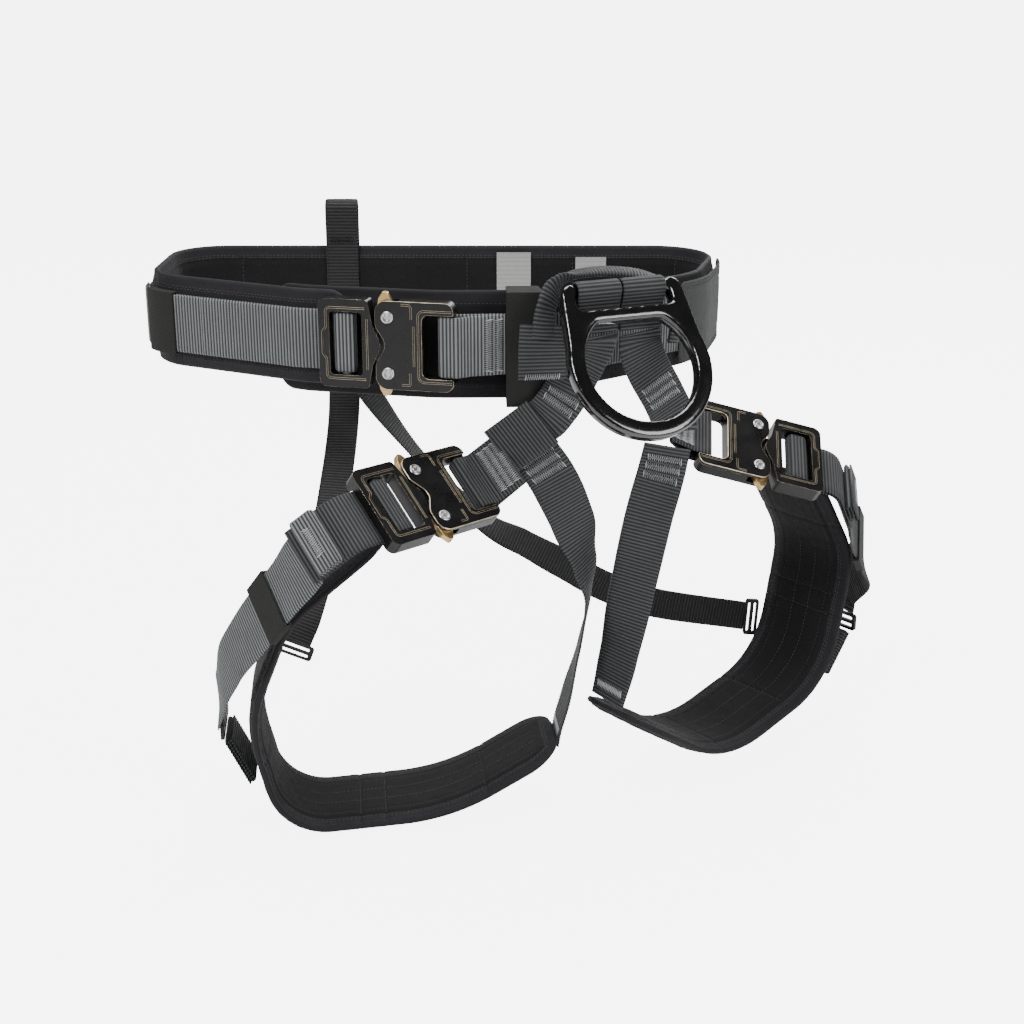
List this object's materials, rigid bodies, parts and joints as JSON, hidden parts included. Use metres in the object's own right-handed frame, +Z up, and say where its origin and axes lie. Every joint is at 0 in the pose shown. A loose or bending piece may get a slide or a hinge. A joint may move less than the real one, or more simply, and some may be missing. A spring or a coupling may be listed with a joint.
{
  "type": "tree climbing saddle",
  "caption": "Tree climbing sit harness: a padded belt with a large front ring, two padded leg loops and three quick-release buckles on ribbed webbing.",
  "frame": {"origin": "middle of the waist opening, halfway up the belt", "axes": "+Z up along the standing wearer, the wearer faces -Y, +X is the wearer's left"},
  "size_m": [0.6006, 0.342, 0.4518],
  "materials": {
    "belt_fabric": "matt twill",
    "grey_webbing": "ribbed weave",
    "dark_webbing": "ribbed weave",
    "black_webbing": "plain weave",
    "side_fabric": "plain weave",
    "label": "satin",
    "ring_coat": "gloss",
    "buckle_coat": "satin anodised, worn edges",
    "steel": "satin",
    "brass": "satin",
    "lock_metal": "satin"
  },
  "bodies": {
    "harness": {"waist_pad": "belt_fabric", "waist_strap": "grey_webbing", "waist_tail": "grey_webbing", "waist_keeper": "black_webbing", "front_flap": "belt_fabric", "front_keeper": "black_webbing", "side_panel": "side_fabric", "haul_loop": "dark_webbing", "labels": "label", "right_sling": "dark_webbing", "left_sling": "dark_webbing", "waist_housing_front": "buckle_coat", "waist_housing_back": "buckle_coat", "waist_rivets": "steel", "waist_strap_slide": "grey_webbing", "waist_buckle_loop": "grey_webbing", "right_leg_pad": "belt_fabric", "right_leg_housing_front": "buckle_coat", "right_leg_housing_back": "buckle_coat", "right_leg_rivets": "steel", "right_strap_slide": "dark_webbing", "right_buckle_loop": "dark_webbing", "right_stopper": "dark_webbing", "right_riser": "dark_webbing", "right_crotch_strap": "dark_webbing", "right_leg_strap": "dark_webbing", "right_rear_riser": "black_webbing", "right_ladder_lock": "lock_metal", "right_lock_tab": "dark_webbing", "left_leg_pad": "belt_fabric", "left_leg_housing_front": "buckle_coat", "left_leg_housing_back": "buckle_coat", "left_leg_rivets": "steel", "left_strap_slide": "dark_webbing", "left_buckle_loop": "dark_webbing", "left_stopper": "dark_webbing", "left_riser": "dark_webbing", "left_crotch_strap": "dark_webbing", "left_leg_strap": "dark_webbing", "left_rear_riser": "black_webbing", "left_ladder_lock": "lock_metal", "left_lock_tab": "dark_webbing", "riser_adjusters": "lock_metal", "right_y_patch": "dark_webbing", "bridge": "dark_webbing"},
    "ring": {"d_ring": "ring_coat"},
    "waist_male": {"waist_male_frame": "buckle_coat"},
    "waist_bar": {"waist_adjuster_bar": "steel"},
    "waist_lever_a": {"waist_lever_upper": "brass"},
    "waist_lever_b": {"waist_lever_lower": "brass"},
    "right_leg_male": {"right_leg_male_frame": "buckle_coat"},
    "right_leg_bar": {"right_leg_adjuster_bar": "steel"},
    "right_leg_lever_a": {"right_leg_lever_upper": "brass"},
    "right_leg_lever_b": {"right_leg_lever_lower": "brass"},
    "left_leg_male": {"left_leg_male_frame": "buckle_coat"},
    "left_leg_bar": {"left_leg_adjuster_bar": "steel"},
    "left_leg_lever_a": {"left_leg_lever_upper": "brass"},
    "left_leg_lever_b": {"left_leg_lever_lower": "brass"},
    "right_keeper": {"right_leg_keeper": "black_webbing"},
    "left_keeper": {"left_leg_keeper": "black_webbing"}
  },
  "joints": [
    {"name": "ring_swing", "type": "hinge", "parent": "harness", "child": "ring", "pos_m": [0.13891, -0.12595, 0.04298], "axis": [-0.9135, -0.4067, 0], "range_deg": [0, 80]},
    {"name": "waist_release", "type": "slide", "parent": "harness", "child": "waist_male", "axis": [-0.9766, 0.2149, 0], "range_m": [0, 0.025], "deforming": ["waist_strap_slide"]},
    {"name": "waist_bar_slide", "type": "slide", "parent": "waist_male", "child": "waist_bar", "axis": [0.9766, -0.2149, 0], "range_m": [-0.0015, 0.0015]},
    {"name": "waist_lever_upper_pinch", "type": "hinge", "parent": "harness", "child": "waist_lever_a", "pos_m": [-0.0277, -0.11612, 0.021], "axis": [0.2149, 0.9766, 0], "range_deg": [0, 12], "stiffness_Nm_per_rad": 0.03},
    {"name": "waist_lever_lower_pinch", "type": "hinge", "parent": "harness", "child": "waist_lever_b", "pos_m": [-0.0277, -0.11612, -0.021], "axis": [-0.2149, -0.9766, 0], "range_deg": [0, 12], "stiffness_Nm_per_rad": 0.03},
    {"name": "right_leg_release", "type": "slide", "parent": "harness", "child": "right_leg_male", "axis": [-0.7314, -0.682, 0], "range_m": [0, 0.025], "deforming": ["right_strap_slide"]},
    {"name": "right_leg_bar_slide", "type": "slide", "parent": "right_leg_male", "child": "right_leg_bar", "axis": [0.7314, 0.682, 0], "range_m": [-0.0015, 0.0015]},
    {"name": "right_leg_lever_upper_pinch", "type": "hinge", "parent": "harness", "child": "right_leg_lever_a", "pos_m": [-0.01097, -0.15424, -0.0885], "axis": [-0.4384, 0.4701, -0.766], "range_deg": [0, 12], "stiffness_Nm_per_rad": 0.03},
    {"name": "right_leg_lever_lower_pinch", "type": "hinge", "parent": "harness", "child": "right_leg_lever_b", "pos_m": [0.01097, -0.17777, -0.1155], "axis": [0.4384, -0.4701, 0.766], "range_deg": [0, 12], "stiffness_Nm_per_rad": 0.03},
    {"name": "left_leg_release", "type": "slide", "parent": "harness", "child": "left_leg_male", "axis": [0.9576, 0.0838, -0.2756], "range_m": [0, 0.025], "deforming": ["left_strap_slide"]},
    {"name": "left_leg_bar_slide", "type": "slide", "parent": "left_leg_male", "child": "left_leg_bar", "axis": [-0.9576, -0.0838, 0.2756], "range_m": [-0.0015, 0.0015]},
    {"name": "left_leg_lever_upper_pinch", "type": "hinge", "parent": "harness", "child": "left_leg_lever_a", "pos_m": [0.25039, -0.08982, -0.10499], "axis": [-0.2778, 0.5224, -0.8062], "range_deg": [0, 12], "stiffness_Nm_per_rad": 0.03},
    {"name": "left_leg_lever_lower_pinch", "type": "hinge", "parent": "harness", "child": "left_leg_lever_b", "pos_m": [0.25361, -0.05418, -0.08301], "axis": [0.2778, -0.5224, 0.8062], "range_deg": [0, 12], "stiffness_Nm_per_rad": 0.03},
    {"name": "right_keeper_slide", "type": "slide", "parent": "harness", "child": "right_keeper", "axis": [-0.5233, 0.383, -0.7612], "range_m": [-0.006, 0.006]},
    {"name": "left_keeper_slide", "type": "slide", "parent": "harness", "child": "left_keeper", "axis": [0.3328, 0.7071, -0.6239], "range_m": [-0.006, 0.006]}
  ]
}
